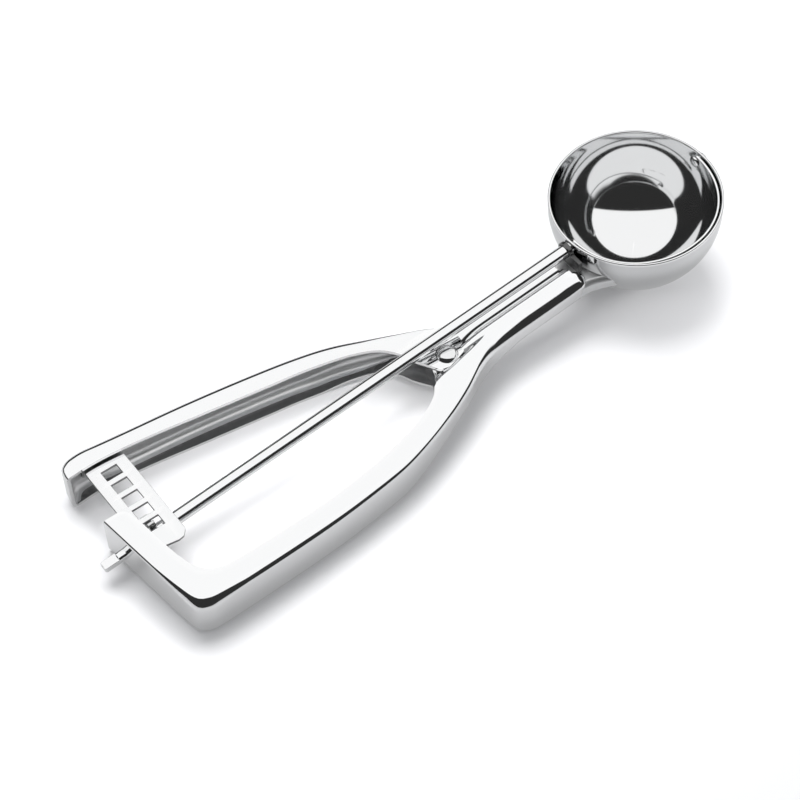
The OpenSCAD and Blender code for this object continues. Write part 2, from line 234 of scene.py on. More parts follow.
def join_all(parts):
    """Several meshes as one. The meshes given are used up."""
    whole = bmesh.new()
    for part in parts:
        held = bpy.data.meshes.new("held")
        part.to_mesh(held)
        part.free()
        whole.from_mesh(held)
        bpy.data.meshes.remove(held)
    return whole


def face_out(bm, towards=(0, 0, 1), above=-100.0):
    """Turns a sheet over if most of it, above a height, faces away from towards."""
    way = Vector(towards)
    bm.normal_update()
    high = [f for f in bm.faces if f.calc_center_median().z > above]
    if sum(f.normal.dot(way) * f.calc_area() for f in high) < 0:
        bmesh.ops.reverse_faces(bm, faces=bm.faces)
    return bm


def piece(name, bm, body, material, nodes=(), thickness=0.0, round_edges=0.0,
          others=(), rim=0):
    """Makes the mesh a piece of the part, in metres, riding on its body.

    others are its further materials: the first lies inside a thickened sheet, or on the sheet's
    rim where rim is 1. bm is used up."""
    bmesh.ops.scale(bm, vec=(MM, MM, MM), verts=bm.verts)
    bm.normal_update()
    limit = math.radians(40)
    for f in bm.faces:
        f.smooth = True
    for e in bm.edges:
        e.smooth = len(e.link_faces) != 2 or e.calc_face_angle(0.0) < limit
    mesh = bpy.data.meshes.new(name)
    bm.to_mesh(mesh)
    bm.free()
    for finish in (material, *others):
        mesh.materials.append(finish)
    thing = bpy.data.objects.new(name, mesh)
    bpy.context.scene.collection.objects.link(thing)
    if thickness:
        wall = thing.modifiers.new("sheet", "SOLIDIFY")
        wall.thickness = thickness * MM
        wall.offset = -1.0
        wall.material_offset = 1 if others and not rim else 0
        wall.material_offset_rim = rim
    if round_edges:
        edge = thing.modifiers.new("edges", "BEVEL")
        edge.width = round_edges * MM
        edge.segments = 2
        edge.limit_method = "ANGLE"
        edge.angle_limit = math.radians(50)
        edge.harden_normals = True
    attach(thing, body)
    if nodes:
        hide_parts(*nodes)
    return thing


# ---- the fixed handle: end wall, channel and neck, pressed in one piece ----

# where the flat top of the handle meets the plane of the neck's pad
BEND_X = (HANDLE_HEIGHT - SPINDLE_HEIGHT + PAD_DEPTH / math.cos(TILT)) / math.tan(TILT)

# from above: the outside, from the end wall's tip round the corner to the end of the neck
FIXED_OUTER = smooth_curve(
    [(wall_x(y), y) for y in (8.1, 6.5, 3, -3, -12, -25)] + [
        (4.3, -30.8), (7.6, -33.1), (12, -33.6), (30, -33.5), (50, -33), (65, -31.9), (80, -30),
        (92, -26.9), (104, -22.6), (113, -18.8), (121, -14.8), (128, -12.5), (137, -11.7),
        (150, -11.6), (PAD_END, -11.6)])
# the inside of the same plate, and then the edge of the step down to the trough
FIXED_INNER = smooth_curve([
    (3.4, 8.1), (5.0, 7.6), (5.9, 6.6), (7.2, 1), (8.2, -7), (9.8, -16), (11.5, -20.8),
    (15.4, -24.4), (22, -25.6), (40, -25.7), (55, -25.3), (67, -24.1), (77, -22.7), (86, -20.8),
    (93, -18.8), (98.5, -16.5), (102.6, -14), (STEP_START, -11), (114, -9.8), (NECK_START, -8.4),
    (130, -6.9), (137, -5.9), (150, -5.6), (PAD_END, -5.6)])
FIXED_TIES = [
    ((wall_x(8.1), 8.1), (3.4, 8.1)), ((wall_x(6.5), 6.5), (5.9, 6.6)),
    ((wall_x(-8), -8), (8.2, -7)), ((wall_x(-25), -25), (10.6, -18.8)),
    ((5.7, -32.1), (13.2, -22.9)), ((12, -33.6), (17, -25)), ((30, -33.5), (31, -25.8)),
    ((50, -33), (52, -25.5)), ((80, -30), (83, -21.6)), ((92, -26.9), (96, -17.7)),
    ((104, -22.6), (STEP_START, -11)), ((121, -14.8), (NECK_START, -8.4)),
    ((137, -11.7), (137, -5.9)), ((PAD_END, -11.6), (PAD_END, -5.6))]
# the far edge of the plate under the spindle
RECESS_EDGE = smooth_curve([
    (STEP_START, -11), (107.8, -8), (109.2, -4.5), (110, -1), (112.4, 2.3), (116.5, 3.9),
    (121, 3.8), (127, 3.6), (NECK_END, 3.6)])
# share of that edge that faces a point of the step
RECESS_SHARES = [(STEP_START, 0), (114, 0.19), (118, 0.265), (PAD_END, 0.96), (NECK_END, 1)]

# heights along x
FIXED_TOP = [(BEND_X - 60, HANDLE_HEIGHT), (BEND_X, HANDLE_HEIGHT), (185, along_z(185, -PAD_DEPTH))]
FIXED_FLOOR = [(82, 0), (107, RECESS_FLOOR), (124, RECESS_FLOOR), (140, along_z(140, -NECK_DEPTH)),
               (180, along_z(180, -NECK_DEPTH))]
RECESS_PLATE = [(100, RECESS_TOP), (124, RECESS_TOP), (133, along_z(133, -TROUGH_DEPTH)),
                (180, along_z(180, -TROUGH_DEPTH))]

# widths of the shoulder: on the end wall, at the corner and from there along x
WALL_SHOULDER, CORNER_SHOULDER, CORNER_X = 1.9, 6.7, 9
FIXED_SHOULDER = [(CORNER_X, CORNER_SHOULDER), (20, 3.7), (104, 3.3), (118, 4.2), (128, 6.6),
                  (140, 7.6), (158, 7.6), (PAD_END, 6.4)]
FIXED_LOW_BEND = 1.6


def fixed_top(x):
    return eased(x, FIXED_TOP, 7)


def fixed_floor(x):
    return eased(x, FIXED_FLOOR, 2)


def fixed_bend(x, y):
    """Width of the shoulder: tight on the end wall, full at the corner and along the neck."""
    if x < CORNER_X:
        share = min(1.0, max(0.0, (-13 - y) / 17)) ** 1.3
        return WALL_SHOULDER + (CORNER_SHOULDER - WALL_SHOULDER) * share
    return between(x, FIXED_SHOULDER)


def shoulder(wide, steps, slow_from, slow_to):
    """A quarter bend as (in, down) steps from the flat.

    It turns quickly, then slowly between two angles, then quickly again. The slow stretch is
    where polished sheet mirrors the dark edge of the tent, so it sets how wide that line is."""
    tight = max(0.5, 0.16 * wide)
    points = [(0.0, 0.0)]
    for k in range(steps):
        low, high = 90 * k / steps, 90 * (k + 1) / steps
        slow = max(0.0, min(high, slow_to) - max(low, slow_from)) / (high - low)
        radius = tight + (wide - tight) * slow
        mid, swing = math.radians((low + high) / 2), math.radians(high - low)
        points.append((points[-1][0] + radius * math.cos(mid) * swing,
                       points[-1][1] + radius * math.sin(mid) * swing))
    return points


# where a channel's section has its points: shares of the top plate, of the wall and of the
# lower plate, close together beside the bends, and steps round each bend
TOP_SHARES = [0, 0.04, 0.3, 0.6, 0.9, 0.99]
BEND_STEPS = 18
WALL_SHARES = [0.01, 0.1, 0.35, 0.65, 0.9, 0.99]
LOW_STEPS = 6
LOW_SHARES = [0.02, 0.4, 0.97, 1]
HIGHEST_BEND, HIGHEST_LOW_BEND = 0.9, 0.8  # as shares of the plate beside the bend


def channel_section(outer, top_inner, low_inner, bend, low_bend, top, floor, slow=(38, 64)):
    """The section of a channel lying on its side: top plate, shoulder, wall, bend, lower plate.

    top and floor give the heights of the plates at x, bend and low_bend the widths of the bends,
    and slow the angles between which the shoulder turns slowly."""
    way = (top_inner - outer).normalized()
    reach = (top_inner - outer).length
    turn = shoulder(bend, BEND_STEPS, *slow)
    if turn[-1][0] > reach * HIGHEST_BEND:
        turn = shoulder(bend * reach * HIGHEST_BEND / turn[-1][0], BEND_STEPS, *slow)
    bend = turn[-1][0]
    low_bend = min(low_bend, (low_inner - outer).length * HIGHEST_LOW_BEND)
    points = []

    def put(spot, drop, floor_line=False):
        z = floor(spot.x) + drop if floor_line else top(spot.x) - drop
        points.append(Vector((spot.x, spot.y, z)))

    for share in TOP_SHARES:
        put(top_inner.lerp(outer + way * bend, share), 0)
    for inward, down in turn:
        put(outer + way * (bend - inward), down)
    high, low = top(outer.x) - turn[-1][1], floor(outer.x) + low_bend
    for share in WALL_SHARES:
        points.append(Vector((outer.x, outer.y, high + (low - high) * share)))
    low_way = (low_inner - outer).normalized()
    for k in range(LOW_STEPS + 1):
        t = math.radians(90 * k / LOW_STEPS)
        put(outer + low_way * low_bend * (1 - math.cos(t)), low_bend * (1 - math.sin(t)), True)
    for share in LOW_SHARES:
        put((outer + low_way * low_bend).lerp(low_inner, share), 0, True)
    return points


def recess_partner(x):
    """The point of the recess plate's edge that faces a point of the step."""
    runs = lengths_of(RECESS_EDGE)
    return point_at(RECESS_EDGE, runs, runs[-1] * between(x, RECESS_SHARES))


def trough_line(y):
    """Height above the spindle's axis of the pad's edge and of the round trough beside it."""
    lean = math.radians(50)
    radius = (PAD_DEPTH - TROUGH_RADIUS * math.cos(lean)) / (math.cos(lean) - 1)
    start = -TROUGH_RADIUS * math.sin(lean) - radius * math.sin(lean)
    if y < start:
        return -PAD_DEPTH
    if y < -TROUGH_RADIUS * math.sin(lean):
        return -PAD_DEPTH - radius + math.sqrt(max(0.0, radius ** 2 - (y - start) ** 2))
    return -math.sqrt(TROUGH_RADIUS ** 2 - y * y)


def pad_end_rows():
    """Sections round the end of the neck's pad, a half-turn about its middle."""
    middle, radius, steps = Vector((PAD_END, -8.6)), 3.0, 16
    keep = len(TOP_SHARES) + BEND_STEPS + 1
    rows = []
    for k in range(1, steps + 1):
        turn = math.radians(180 * k / steps)
        outer = middle + radius * Vector((math.sin(turn), -math.cos(turn)))
        wide = between(k, [(0, 6.4), (9, 6.4), (steps, 1.6)])
        slow = (between(k, [(1, 38), (8, 12)]), between(k, [(1, 64), (8, 36)]))
        section = channel_section(outer, middle, middle, wide, FIXED_LOW_BEND, fixed_top,
                                  fixed_floor, slow)
        # below the shoulder the wall goes straight down, out of sight
        lip = section[keep - 1]
        below = len(section) - keep
        drop = max(0.5, lip.z - along_z(lip.x, -9.2)) / below
        rows.append(section[:keep] + [lip + Vector((0, 0, -drop * n)) for n in range(1, below + 1)])
    return rows


def step_rows(pairs):
    """Rows across the step down to the plate under the spindle, and the trough it turns into."""
    steps = 40
    rows = []
    for _, inner in pairs:
        if inner.x < STEP_START - 0.1:
            continue
        far = recess_partner(inner.x)
        round_share = eased(inner.x, [(117, 0), (127, 1)], 4)
        width = between(inner.x, [(106, 1.0), (109, 3.4), (119, 3.4), (128, 1.0)])
        row = []
        for k in range(steps + 1):
            spot = inner.lerp(far, (k / steps) ** 1.6)
            high = fixed_top(spot.x)
            plate = eased(spot.x, RECESS_PLATE, 4)
            fall = min(1.0, (spot - inner).length / width)
            stepped = high + (plate - high) * fall * fall * (3 - 2 * fall)
            rounded = along_z(spot.x, trough_line(spot.y))
            row.append(Vector((spot.x, spot.y, stepped + (rounded - stepped) * round_share)))
        rows.append(row)
    return rows


def tail_rows():
    """Sections of the box that runs on from the neck, flares and hugs the bowl."""
    outer, inner, steps = Vector((163, -11.55)), Vector((163, 3.6)), 16
    hug = BOWL_RADIUS - 0.35
    section = channel_section(outer, inner, inner, 4.4, 1.8, lambda x: along_z(x, -TAIL_DEPTH),
                              fixed_floor)
    rows = []
    for k in range(steps + 1):
        share = k / steps
        flare = 4.2 * share ** 2.6
        row = []
        for spot in section:
            near = SPINDLE.inverted() @ spot
            side = max(0.0, min(1.0, (-near.y - 3) / 8.5))
            near.y -= flare * side * side
            reach = SPINDLE_LENGTH - math.sqrt(max(1.0, hug ** 2 - near.y ** 2 - near.z ** 2))
            near.x = near.x + (reach - near.x) * share
            row.append(SPINDLE @ near)
        rows.append(row)
    return rows


def fixed_handle(material, others):
    """The whole pressing. others are the finishes of its inside and of its tail."""
    pairs = facing_pairs(FIXED_OUTER, FIXED_INNER, FIXED_TIES, 1.6)
    rows = []
    for outer, inner in pairs:
        low = inner if inner.x < STEP_START else recess_partner(inner.x)
        rows.append(channel_section(outer, inner, low, fixed_bend(outer.x, outer.y),
                                    FIXED_LOW_BEND, fixed_top, fixed_floor))
    shell = face_out(sheet_of(rows + pad_end_rows()), above=TOP_PLATES)
    step = face_out(sheet_of(step_rows(pairs)))
    tail = face_out(sheet_of(tail_rows()), above=18.5)
    for f in tail.faces:
        f.material_index = len(others)
    whole = join_all([shell, step, tail])
    bmesh.ops.remove_doubles(whole, verts=whole.verts, dist=MERGE_GAP)
    return piece("fixed_handle_pressing", whole, "frame", material,
                 ["fixed_handle"], thickness=SHEET, round_edges=EDGE_ROUND, others=others)


def bearing_lug(material):
    """The lug at the end of the trough, with the hole in which the spindle turns. It is painted
    near black as shade, and its lower part reaches wide on the -y side as a dark sheet that stands
    for shade there.
    """
    around, across = 72, 2
    x, thickness, hole, lip = 166.95, 1.3, 2.28, 2.95
    right, below, corner = 7.0, 5.9, 8.2

    def place(i, j):
        turn = 2 * math.pi * i / around
        y, w = math.sin(turn), math.cos(turn)
        reach = lip
        if w < 0:
            reach = min((lip if y > 0 else right) / max(abs(y), 1e-6), below / -w, corner)
        radius = hole + (reach - hole) * j / across
        return Vector((x, y * radius, w * radius))

    lug = sheet_grid(around, across, place)
    bmesh.ops.remove_doubles(lug, verts=lug.verts, dist=1e-4)
    thicken(lug, (thickness, 0, 0), SPINDLE)
    return piece("bearing_lug", lug, "frame", material, round_edges=0.3)


# ---- the lever ----

# from above: the outside, from its free end to the ear, the inside, and the ear round the rivet
LEVER_TIP, EAR_START = (-1.9, 27.2), (120.4, 6.4)
LEVER_OUTER = smooth_curve([
    LEVER_TIP, (-1.9, 29), (-1.2, 31.6), (1.6, 33.8), (6, 34.4), (12, 33.75), (21, 32.7),
    (41, 30.5), (61, 27.6), (77, 24.7), (89, 21.5), (99.5, 16.9), (109.8, 12), (116.6, 8.7),
    EAR_START])
LEVER_INNER = smooth_curve([
    (0, 27.05), (8, 27.4), (17.4, 26.7), (30, 25), (41, 23.2), (53, 21.3), (65, 19.4), (76, 17.7),
    (88, 15), (94, 13), (98.9, 10.6), (102, 7.8), (104.4, 4.2), (106, 0), (108.2, -3.8), (110, -7)])
LEVER_TIES = [
    (LEVER_TIP, (0, 27.05)), ((-1.9, 29), (0.9, 27.1)), ((-1.2, 31.6), (2.3, 27.15)),
    ((1.6, 33.8), (4.6, 27.25)), ((6, 34.4), (7.5, 27.35)), ((21, 32.7), (20.3, 26.4)),
    ((41, 30.5), (40, 23.4)), ((61, 27.6), (59.5, 20.3)), ((77, 24.7), (74.5, 18)),
    ((89, 21.5), (85.5, 15.6)), ((99.5, 16.9), (94.5, 12.8)), ((109.8, 12), (100.5, 9.3)),
    (EAR_START, (103.2, 6.1))]
EAR_OUTER = smooth_curve([
    EAR_START, (122.2, 3.2), (122.8, -1), (121.6, -5), (119.4, -7.5), (115.6, -8.5), (112, -8.1),
    (110.6, -7.6)])
EAR_INNER = smooth_curve([(103.2, 6.1), (104.4, 4.2), (106, 0), (108.2, -3.8), (110, -7)])
EAR_TIES = [(EAR_START, (103.2, 6.1)), ((122.8, -1), (105.8, 0.2)), ((119.4, -7.5), (108, -3.6)),
            ((110.6, -7.6), (110, -7))]
EAR_SHARES = [0, 0.05, 0.35, 0.65, 0.95, 1]
LEVER_FLOOR = [(82, 0), (107, EAR_FLOOR), (125, EAR_FLOOR)]
LEVER_SHOULDER = [(-2, 2.0), (3, 3.0), (90, 3.2), (112, 2.8), (120, 2.4)]
LEVER_LOW_BEND = 4.2
LEVER_SLOW = (10, 66)


def lever_top(x):
    return HANDLE_HEIGHT


def lever_floor(x):
    return eased(x, LEVER_FLOOR, 2)


def ear(height):
    """The ear at the end of a plate of the lever, which the rivet holds. height is as top(x)."""
    pairs = facing_pairs(EAR_OUTER, EAR_INNER, EAR_TIES, 1.2)

    def place(i, j):
        spot = pairs[i][1].lerp(pairs[i][0], EAR_SHARES[j])
        return Vector((spot.x, spot.y, height(spot.x)))

    return sheet_grid(len(pairs) - 1, len(EAR_SHARES) - 1, place)


def lever_handle(material, others):
    """Channel and ears. others are the finishes of its inside and of the two sides of its floor;
    the side inside the channel is painted near black, as shade.
    """
    rows = [channel_section(outer, inner, inner, between(outer.x, LEVER_SHOULDER), LEVER_LOW_BEND,
                            lever_top, lever_floor, LEVER_SLOW)
            for outer, inner in facing_pairs(LEVER_OUTER, LEVER_INNER, LEVER_TIES, 1.6)]
    shell = face_out(sheet_of(rows), above=TOP_PLATES)
    # the lower plate takes the later finishes, so that its face inside the channel is painted dark:
    # painted shade
    for f in shell.faces:
        middle = f.calc_center_bounds()
        f.material_index = 2 if middle.z < lever_floor(middle.x) + 0.06 else 0
    upper = face_out(ear(lever_top))
    lower = face_out(ear(lever_floor), (0, 0, -1))
    whole = join_all([shell, upper, lower])
    bmesh.ops.remove_doubles(whole, verts=whole.verts, dist=MERGE_GAP)
    return piece("lever_pressing", whole, "lever", material, ["lever_handle"],
                 thickness=SHEET, round_edges=EDGE_ROUND, others=others)


# ---- the bowl ----

def bowl(material, outside):
    """The thin cup with its rounded rim. Its outer face takes the second finish, a darker copy of
    the same steel: painted shade.
    """
    inner, half = BOWL_RADIUS - BOWL_SHEET, BOWL_SHEET / 2
    heights = [RIM_HEIGHT * k / 4 for k in (1, 2, 3)]
    outline = [(0.0, -BOWL_RADIUS)] + arc((0, 0), BOWL_RADIUS, -89, 0, 60)
    outline += [(BOWL_RADIUS, z) for z in heights]
    outline += arc((BOWL_RADIUS - half, RIM_HEIGHT - half), half, 0, 180, 10)
    outline += [(inner, z) for z in reversed(heights)]
    outline += arc((0, 0), inner, 0, -89, 60) + [(0.0, -inner)]
    bm = turned(outline, 192, BOWL)
    # the outer face below the rim takes the darker copy of the steel: painted shade
    to_bowl = BOWL.inverted()
    for face in bm.faces:
        middle = to_bowl @ face.calc_center_median()
        reach = Vector((middle.x, middle.y, min(middle.z, 0))).length
        if reach > inner + half and middle.z < RIM_HEIGHT - 1:
            face.material_index = 1
    return piece("polished_bowl", bm, "frame", material, ["bowl"],
                 others=(outside,))


# ---- the spindle and what turns with it ----

def spindle_rod(material):
    """The rod, turned down at both ends, with its flat tail behind the end wall."""
    seat = SPINDLE_LENGTH - BLADE_OUTER - 0.02
    inside = SPINDLE_LENGTH - BLADE_INNER + 0.12
    outline = [(0, -2.9), (1.45, -2.9), (JOURNAL_RADIUS, -2.65), (JOURNAL_RADIUS, 1.3),
               (2.05, 1.3), (ROD_RADIUS, 1.45), (ROD_RADIUS, 60), (ROD_RADIUS, 120),
               (ROD_RADIUS, seat - 0.15), (2.05, seat), (BLADE_JOURNAL, seat),
               (BLADE_JOURNAL, inside), (ROD_RADIUS, inside)]
    outline += [(ROD_RADIUS * math.cos(math.radians(a)), inside + 0.8 * math.sin(math.radians(a)))
                for a in (15, 30, 45, 60, 75)]
    shaft = turned(outline + [(0, inside + 0.8)], 64, ALONG)
    tail = pushed_up([(-7.7, -1.1), (-7.25, -1.55), (-2.5, -1.55), (-2.5, 1.55), (-7.25, 1.55),
                      (-7.7, 1.1)], 2.0, SPINDLE @ Matrix.Translation((0, 0, -1.0)))
    return piece("spindle_rod_polished", join_all([shaft, tail]), "spindle", material,
                 ["spindle_rod"], round_edges=0.2)


def pinion(material):
    """Six teeth on a boss, cut from one bar."""
    flank = [(0.43, 5.85), (0.83, 4.9), (1.0, 3.75), (1.25, 3.3)]
    root = 3.58
    gap = (-root * math.sin(math.radians(30)), root * math.cos(math.radians(30)))
    outline = []
    for k in range(TEETH):
        turn = Matrix.Rotation(math.radians(360 * k / TEETH), 2)
        for point in [(-x, y) for x, y in reversed(flank)] + flank + [gap]:
            spot = turn @ Vector(point)
            outline.append((spot.x, spot.y))
    outline.sort(key=lambda p: math.atan2(p[1], p[0]))
    upright = Matrix(((0, 0, 1, 0), (1, 0, 0, 0), (0, 1, 0, 0), (0, 0, 0, 1)))
    toothed = pushed_up(outline, 2.2, SPINDLE @ Matrix.Translation((9.1, 0, 0)) @ upright)
    boss = turned([(2.22, 0.15), (2.4, 0), (3.35, 0), (3.5, 0.15), (3.5, 7.6), (2.22, 7.6)], 48,
                  ALONG @ Matrix.Translation((0, 0, 1.6)), closed=True)
    return piece("pinion_toothed", join_all([toothed, boss]), "spindle", material,
                 ["pinion"], round_edges=0.12)


def pinion_pin(material):
    """The cross pin through boss and rod."""
    pin = turned([(0, 0), (0.5, 0), (0.6, 0.1), (0.6, 7.3), (0.5, 7.4), (0, 7.4)], 24,
                 SPINDLE @ Matrix.Translation((4.8, -3.7, 0))
                 @ Matrix.Rotation(math.radians(-90), 4, "X"))
    return piece("pinion_cross_pin", pin, "spindle", material, ["pinion_pin"])


def scraper_blade(material):
    """A strip of the bowl's inside, narrow at its ends, bent round the spindle's line."""
    half_widths = [(-28, 2.7), (-22, 3.5), (-12, 4.5), (0, 5.0), (12, 4.5), (22, 3.5), (28, 2.7)]
    along, across = 96, 10
    turn = BOWL @ Matrix.Rotation(BLADE_REST, 4, "X")

    def place(i, j):
        x = -math.cos(math.pi * i / along) * BLADE_OUTER
        y = eased(x, half_widths, 3) * (2 * j / across - 1)
        share = max(-1.0, min(1.0, x / BLADE_OUTER))
        drop = math.sqrt(max(0.0, BLADE_OUTER ** 2 - y * y))
        return turn @ Vector((drop * share, y, -drop * math.sqrt(max(0.0, 1 - share * share))))

    strip = sheet_grid(along, across, place)
    strip.normal_update()
    middle = BOWL.translation
    if sum((f.calc_center_median() - middle).dot(f.normal) for f in strip.faces) < 0:
        bmesh.ops.reverse_faces(strip, faces=strip.faces)
    return piece("scraper_strip", strip, "spindle", material, ["scraper_blade"],
                 thickness=BLADE_SHEET, round_edges=0.14)


def far_pin(material):
    """The pin on the far side of the bowl, with its round head inside."""
    end = BLADE_GAP + BLADE_SHEET + BOWL_SHEET + 1.9
    outline = [(0, -0.92), (1.0, -0.88), (1.6, -0.72), (1.95, -0.4), (2.0, -0.12), (1.25, -0.12),
               (1.25, end - 0.3), (0.95, end), (0, end)]
    pin = turned(outline, 40, ALONG @ Matrix.Translation((0, 0, SPINDLE_LENGTH + BLADE_INNER)))
    return piece("far_pin_turned", pin, "spindle", material, ["far_pin"])


# ---- the rack ----

def rack_plate(material, shaded_edge):
    """The strip with its windows, bent down at the lever into a foot for two rivets."""
    columns = [3.95, 4.3, 5.8, 7.6, 7.75, 9.1, 11.8, 13.15, 13.3, 15.1, 16.6, 16.95]
    end_line = [(3.95, -5.4), (5.85, -7.8), (14.05, -9.2), (16.05, -8.4), (16.95, -6.4)]
    beside = 2.05  # from a window's middle to the line of points beside its edge
    bend, foot_low, across = 1.6, 3.4, 8
    rows = [None, None]
    for k in range(WINDOWS):
        rows += [k * WINDOW_PITCH + off for off in (-beside, -WINDOW_WIDE, WINDOW_WIDE, beside)]
    rows += [26.5, 28.0, RACK_END]

    def place(i, j):
        x = columns[i]
        if j == 0:
            y = between(x, end_line)
        elif j == 1:
            y = between(x, end_line) * 0.6 - beside * 0.4
        else:
            y = rows[j]
        return Vector((x, y, RACK_TOP))

    def in_window(spot):
        return abs(spot.x - WINDOW_MIDDLE) < WINDOW_LONG and any(
            abs(spot.y - k * WINDOW_PITCH) < WINDOW_WIDE for k in range(WINDOWS))

    def foot_x(i):
        return 5.2 + 10.6 * i / across

    def foot_place(i, j):
        x = foot_x(i)
        wall = lever_wall_y(x) - SHEET
        if j <= 8:
            t = math.radians(90 * j / 8)
            return Vector((x, wall - bend + bend * math.sin(t),
                           RACK_TOP - bend + bend * math.cos(t)))
        return Vector((x, wall, RACK_TOP - bend - (RACK_TOP - bend - foot_low) * (j - 8) / 4))

    def bridge_place(i, j):
        x = 4.3 + 12.3 * i / across
        share = j / 3
        y = RACK_END + (lever_wall_y(foot_x(i)) - SHEET - bend - RACK_END) * share
        return Vector((x + (foot_x(i) - x) * share, y, RACK_TOP))

    strip = sheet_grid(len(columns) - 1, len(rows) - 1, place)
    windows = [f for f in strip.faces if in_window(f.calc_center_median())]
    bmesh.ops.delete(strip, geom=windows, context="FACES")
    face_out(strip)
    foot = face_out(sheet_grid(across, 12, foot_place), (0, 1, 1))
    bridge = face_out(sheet_grid(across, 3, bridge_place))
    whole = join_all([strip, foot, bridge])
    bmesh.ops.remove_doubles(whole, verts=whole.verts, dist=MERGE_GAP)
    # its cut edges, the walls of its windows too, are near black: painted shade
    return piece("rack_strip", whole, "lever", material, ["rack_plate"],
                 thickness=RACK_SHEET, round_edges=0.14, others=(shaded_edge,), rim=1)


# ---- rivets, sleeve and spring ----

def domed(radius, height, steps=8):
    """The outline of a round head, from its rim to its middle."""
    turns = [math.radians(90 * k / steps) for k in range(steps + 1)]
    return [(radius * math.cos(t), height * math.sin(t)) for t in turns]


def rack_rivet(x, name, material):
    """A rivet through the rack's foot and the lever's wall, with a round head on both sides."""
    at = (Matrix.Translation((x, lever_wall_y(x), 7.2)) @ Matrix.Rotation(-LEVER_LEAN, 4, "Z")
          @ Matrix.Rotation(math.radians(-90), 4, "X"))
    head = domed(2.1, 0.78)
    outline = [(r, -SHEET - RACK_SHEET - 0.08 - z) for r, z in reversed(head)]
    outline += [(1.2, -SHEET - RACK_SHEET - 0.06), (1.2, 0.06)] + [(r, z + 0.08) for r, z in head]
    return piece(name + "_turned", turned(outline, 40, at), "lever", material,
                 [name])


def pivot_rivet(material):
    """The rivet that the lever turns on, closed below the washer and domed on top."""
    closed_end = EAR_FLOOR - 0.75
    top = [(2.0, 0.08), (3.5, 0.08), (3.55, 0.16), (3.5, 0.24), (3.2, 0.58), (2.9, 0.9),
           (2.65, 1.12), (2.35, 1.24), (1.5, 1.3), (0, 1.32)]
    outline = [(r, closed_end - z) for r, z in reversed(domed(2.9, 0.9))]
    outline += [(2.0, closed_end)] + [(r, HANDLE_HEIGHT + z) for r, z in top]
    rivet = turned(outline, 56, Matrix.Translation((*PIVOT, 0)))
    return piece("pivot_rivet_turned", rivet, "frame", material, ["pivot_rivet"])


def rivet_washer(material):
    ring = turned([(2.1, 0), (3.5, 0), (3.6, 0.1), (3.6, 0.5), (3.5, 0.6), (2.1, 0.6)], 48,
                  Matrix.Translation((*PIVOT, 3.93)), closed=True)
    return piece("rivet_washer_turned", ring, "frame", material, ["rivet_washer"])


def pivot_sleeve(material):
    tube = turned([(2.05, 0.1), (2.15, 0), (2.7, 0), (2.8, 0.1), (2.8, 5.9), (2.7, 6.0),
                   (2.15, 6.0), (2.05, 5.9)], 48, Matrix.Translation((*PIVOT, SLEEVE_FLOOR)),
                  closed=True)
    return piece("pivot_sleeve_turned", tube, "frame", material, ["pivot_sleeve"])


def coil_point(turn):
    """A point of the spring's middle line on its coil."""
    rise = (WIRE + COIL_GAP) / (2 * math.pi)
    return Vector((PIVOT[0] + COIL_RADIUS * math.cos(turn), PIVOT[1] + COIL_RADIUS * math.sin(turn),
                   SLEEVE_FLOOR + WIRE / 2 + 0.2 + rise * (turn - COIL_START)))


def bent_wire(line, sides=12):
    """A round wire along a line of points, closed at both ends."""
    last = len(line) - 1

    def place(i, j):
        ahead = (line[min(i + 1, last)] - line[max(i - 1, 0)]).normalized()
        if i < 2:
            ahead = (line[1] - line[0]).normalized()
        if i > last - 2:
            ahead = (line[last] - line[last - 1]).normalized()
        side = ahead.cross(Vector((0, 0, 1))).normalized()
        over = side.cross(ahead)
        t = 2 * math.pi * j / sides
        return line[i] + (side * math.cos(t) + over * math.sin(t)) * WIRE / 2

    tube = sheet_grid(last, sides, place)
    bmesh.ops.remove_doubles(tube, verts=tube.verts, dist=1e-4)
    bmesh.ops.holes_fill(tube, edges=[e for e in tube.edges if e.is_boundary], sides=0)
    bmesh.ops.recalc_face_normals(tube, faces=tube.faces)
    return tube


def torsion_spring(material):
    """The coil and the leg that leans on the fixed handle, and the leg that rides on the lever."""
    count, short, back = 96, 0.1, 0.35
    coil = [coil_point(COIL_START + (COIL_END - short - COIL_START) * k / count)
            for k in range(count + 1)]
    first = coil[0] - FRAME_LEG * Vector((-math.sin(COIL_START), math.cos(COIL_START), 0))
    piece("torsion_spring_coil", bent_wire([first] + coil), "frame", material,
          ["torsion_spring"])
    # this leg starts a little way back on the coil, so that they stay joined as the lever turns
    root = [coil_point(COIL_END - back + back * k / 6) for k in range(7)]
    last = root[-1] + LEVER_LEG * Vector((-math.sin(COIL_END), math.cos(COIL_END), 0))
    return piece("torsion_spring_lever_leg", bent_wire(root + [last]), "lever",
                 material)


# ---- finishes ----

def add_node(tree, kind, given=(), **settings):
    """A new node. given pairs its inputs with constants or with outputs of other nodes."""
    node = tree.nodes.new(kind)
    for key, value in settings.items():
        setattr(node, key, value)
    for key, value in given:
        if isinstance(value, bpy.types.NodeSocket):
            tree.links.new(value, node.inputs[key])
        else:
            node.inputs[key].default_value = value
    return node


def maths(tree, operation, *values):
    """The result of a calculation with the values."""
    return add_node(tree, "ShaderNodeMath", enumerate(values), operation=operation).outputs[0]


def ranged(tree, value, *ends, **settings):
    """The value carried from one range to another. ends are pairs such as ("To Min", 2)."""
    return add_node(tree, "ShaderNodeMapRange", [*ends, ("Value", value)], **settings).outputs[0]


def mixed(tree, share, a, b, blend_type="MIX"):
    """The colour a, turned into b by the share."""
    return add_node(tree, "ShaderNodeMix", [(0, share), (6, a), (7, b)], data_type="RGBA",
                    blend_type=blend_type).outputs[2]


def noise(tree, where, scale, *more):
    """Soft random spots, as fine as scale."""
    return add_node(tree, "ShaderNodeTexNoise", [("Vector", where), ("Scale", scale), *more]
                    ).outputs["Fac"]


